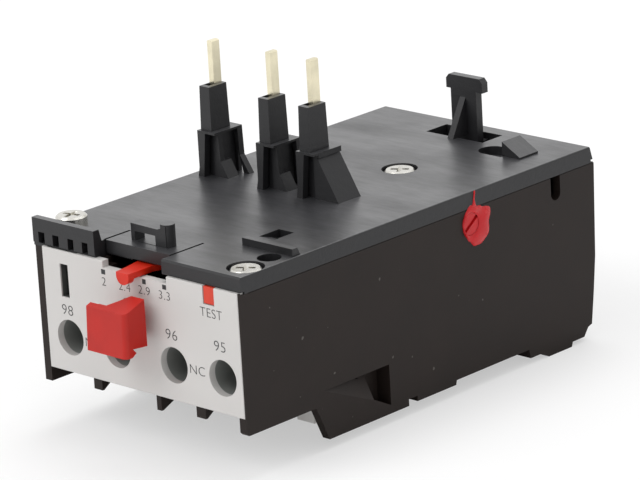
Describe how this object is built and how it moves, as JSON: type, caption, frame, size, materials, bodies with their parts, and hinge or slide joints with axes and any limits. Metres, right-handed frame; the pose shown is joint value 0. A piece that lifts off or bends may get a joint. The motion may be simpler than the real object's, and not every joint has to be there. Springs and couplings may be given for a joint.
{
  "type": "thermal overload relay",
  "caption": "Plug-in thermal overload relay that trips on sustained motor overload, with set-current lever, reset button, test slide and screw terminals.",
  "frame": {"origin": "centre of the bounding box in plan, at the lowest line of the relay", "axes": "+Y from the front plate with the reset button to the rear wall, +Z the way the three line pins point, +X to the right seen from the front"},
  "size_m": [0.0454, 0.089, 0.0545],
  "materials": {
    "black_body": "moulded black thermoset housing, fine texture",
    "black_cover": "moulded black cover with a fine satin grain",
    "light_grey": "smooth light grey moulding",
    "nickel_screw": "bright nickel-plated steel",
    "brass_screw": "plain turned brass",
    "red_lacquer": "hard red sealing lacquer",
    "tinned_brass": "pale tinned brass",
    "bimetal": "rolled bimetal strip",
    "heater_alloy": "oxidised heater ribbon on a woven sleeve",
    "zinc_steel": "zinc-plated pressed steel",
    "contact_bronze": "spring bronze with silver rivets",
    "cream_plastic": "unpainted cream moulding",
    "red_button": "satin red moulding",
    "spring_steel": "drawn spring wire",
    "red_tab": "bright red moulding",
    "orange_red_lever": "translucent orange-red moulding",
    "yellow_plastic": "plain yellow moulding"
  },
  "bodies": {
    "base": {"base_housing": "black_body", "top_cover": "black_cover", "front_plate": "light_grey", "terminal_front": "light_grey", "cover_screws": "nickel_screw", "calibration_screw": "brass_screw", "sealing_lacquer": "red_lacquer", "line_pin_1": "tinned_brass", "bimetal_strip_1": "bimetal", "heater_winding_1": "heater_alloy", "load_terminal_1": "tinned_brass", "line_pin_2": "tinned_brass", "bimetal_strip_2": "bimetal", "heater_winding_2": "heater_alloy", "load_terminal_2": "tinned_brass", "line_pin_3": "tinned_brass", "bimetal_strip_3": "bimetal", "heater_winding_3": "heater_alloy", "load_terminal_3": "tinned_brass", "aux_terminal_98": "tinned_brass", "aux_terminal_97": "tinned_brass", "aux_terminal_96": "tinned_brass", "aux_terminal_95": "tinned_brass"},
    "aux_clamp_98_body": {"aux_clamp_98": "zinc_steel"},
    "aux_screw_98_body": {"aux_screw_98": "nickel_screw"},
    "aux_clamp_97_body": {"aux_clamp_97": "zinc_steel"},
    "aux_screw_97_body": {"aux_screw_97": "nickel_screw"},
    "aux_clamp_96_body": {"aux_clamp_96": "zinc_steel"},
    "aux_screw_96_body": {"aux_screw_96": "nickel_screw"},
    "aux_clamp_95_body": {"aux_clamp_95": "zinc_steel"},
    "aux_screw_95_body": {"aux_screw_95": "nickel_screw"},
    "load_clamp_1_body": {"load_clamp_1": "zinc_steel"},
    "load_screw_1_body": {"load_screw_1": "nickel_screw"},
    "load_clamp_2_body": {"load_clamp_2": "zinc_steel"},
    "load_screw_2_body": {"load_screw_2": "nickel_screw"},
    "load_clamp_3_body": {"load_clamp_3": "zinc_steel"},
    "load_screw_3_body": {"load_screw_3": "nickel_screw"},
    "reset_body": {"reset_button": "red_button", "reset_spring": "spring_steel"},
    "test_body": {"test_slide": "red_tab", "test_spring": "spring_steel"},
    "adjuster_body": {"adjuster_lever": "orange_red_lever"},
    "trip_slider_body": {"trip_slider": "cream_plastic"},
    "differential_body": {"differential_slider": "cream_plastic"},
    "trip_lever_body": {"trip_lever": "cream_plastic", "compensator_strip": "bimetal"},
    "carrier_body": {"contact_carrier": "cream_plastic", "nc_bridge": "contact_bronze", "no_bridge": "contact_bronze"},
    "flag_body": {"trip_flag": "yellow_plastic"}
  },
  "joints": [
    {"name": "aux_clamp_98_slide", "type": "slide", "parent": "base", "child": "aux_clamp_98_body", "axis": [0, -1, 0], "range_m": [0, 0.0018]},
    {"name": "aux_screw_98_turn", "type": "hinge", "parent": "aux_clamp_98_body", "child": "aux_screw_98_body", "pos_m": [-0.01545, -0.02891, 0.0159], "axis": [0, -1, 0], "range_deg": [0, 1080]},
    {"name": "aux_clamp_97_slide", "type": "slide", "parent": "base", "child": "aux_clamp_97_body", "axis": [0, -1, 0], "range_m": [0, 0.0018]},
    {"name": "aux_screw_97_turn", "type": "hinge", "parent": "aux_clamp_97_body", "child": "aux_screw_97_body", "pos_m": [-0.00495, -0.02891, 0.0159], "axis": [0, -1, 0], "range_deg": [0, 1080]},
    {"name": "aux_clamp_96_slide", "type": "slide", "parent": "base", "child": "aux_clamp_96_body", "axis": [0, -1, 0], "range_m": [0, 0.0018]},
    {"name": "aux_screw_96_turn", "type": "hinge", "parent": "aux_clamp_96_body", "child": "aux_screw_96_body", "pos_m": [0.00745, -0.02891, 0.0159], "axis": [0, -1, 0], "range_deg": [0, 1080]},
    {"name": "aux_clamp_95_slide", "type": "slide", "parent": "base", "child": "aux_clamp_95_body", "axis": [0, -1, 0], "range_m": [0, 0.0018]},
    {"name": "aux_screw_95_turn", "type": "hinge", "parent": "aux_clamp_95_body", "child": "aux_screw_95_body", "pos_m": [0.01785, -0.02891, 0.0159], "axis": [0, -1, 0], "range_deg": [0, 1080]},
    {"name": "load_clamp_1_slide", "type": "slide", "parent": "base", "child": "load_clamp_1_body", "axis": [0, -1, 0], "range_m": [0, 0.0021]},
    {"name": "load_screw_1_turn", "type": "hinge", "parent": "load_clamp_1_body", "child": "load_screw_1_body", "pos_m": [-0.01465, -0.01656, 0.0058], "axis": [0, -1, 0], "range_deg": [0, 1080]},
    {"name": "load_clamp_2_slide", "type": "slide", "parent": "base", "child": "load_clamp_2_body", "axis": [0, -1, 0], "range_m": [0, 0.0021]},
    {"name": "load_screw_2_turn", "type": "hinge", "parent": "load_clamp_2_body", "child": "load_screw_2_body", "pos_m": [-0.00025, -0.01656, 0.0058], "axis": [0, -1, 0], "range_deg": [0, 1080]},
    {"name": "load_clamp_3_slide", "type": "slide", "parent": "base", "child": "load_clamp_3_body", "axis": [0, -1, 0], "range_m": [0, 0.0021]},
    {"name": "load_screw_3_turn", "type": "hinge", "parent": "load_clamp_3_body", "child": "load_screw_3_body", "pos_m": [0.01415, -0.01656, 0.0058], "axis": [0, -1, 0], "range_deg": [0, 1080]},
    {"name": "reset_press", "type": "slide", "parent": "base", "child": "reset_body", "axis": [0, 1, 0], "range_m": [0, 0.0018], "stiffness_N_per_m": 250, "springref_m": -0.002},
    {"name": "test_press", "type": "slide", "parent": "base", "child": "test_body", "axis": [0, 1, 0], "range_m": [0, 0.0015], "stiffness_N_per_m": 150, "springref_m": -0.002},
    {"name": "current_setting", "type": "hinge", "parent": "base", "child": "adjuster_body", "pos_m": [0.00025, -0.01996, 0.0281], "axis": [0, 0, 1], "range_deg": [-13.5, 15.5]},
    {"name": "trip_travel", "type": "slide", "parent": "base", "child": "trip_slider_body", "axis": [1, 0, 0], "range_m": [0, 0.0018], "stiffness_N_per_m": 60, "springref_m": -0.001},
    {"name": "differential_travel", "type": "slide", "parent": "base", "child": "differential_body", "axis": [1, 0, 0], "range_m": [0, 0.0018]},
    {"name": "lever_swing", "type": "hinge", "parent": "base", "child": "trip_lever_body", "pos_m": [0.01675, -0.00496, 0.0211], "axis": [0, 0, -1], "range_deg": [0, 9.48]},
    {"name": "contact_travel", "type": "slide", "parent": "base", "child": "carrier_body", "axis": [0, 1, 0], "range_m": [0, 0.00217]},
    {"name": "flag_travel", "type": "slide", "parent": "base", "child": "flag_body", "axis": [1, 0, 0], "range_m": [0, 0.00222]}
  ],
  "couplings": [
    {"joint": "aux_screw_98_turn", "follows": "aux_clamp_98_slide", "rad_per_m": 10472},
    {"joint": "aux_screw_97_turn", "follows": "aux_clamp_97_slide", "rad_per_m": 10472},
    {"joint": "aux_screw_96_turn", "follows": "aux_clamp_96_slide", "rad_per_m": 10472},
    {"joint": "aux_screw_95_turn", "follows": "aux_clamp_95_slide", "rad_per_m": 10472},
    {"joint": "load_screw_1_turn", "follows": "load_clamp_1_slide", "rad_per_m": 8976},
    {"joint": "load_screw_2_turn", "follows": "load_clamp_2_slide", "rad_per_m": 8976},
    {"joint": "load_screw_3_turn", "follows": "load_clamp_3_slide", "rad_per_m": 8976},
    {"joint": "differential_travel", "follows": "trip_travel", "ratio": 1},
    {"joint": "lever_swing", "follows": "trip_travel", "rad_per_m": 91.743},
    {"joint": "contact_travel", "follows": "trip_travel", "ratio": 1.1927},
    {"joint": "flag_travel", "follows": "trip_travel", "ratio": 1.2222}
  ]
}
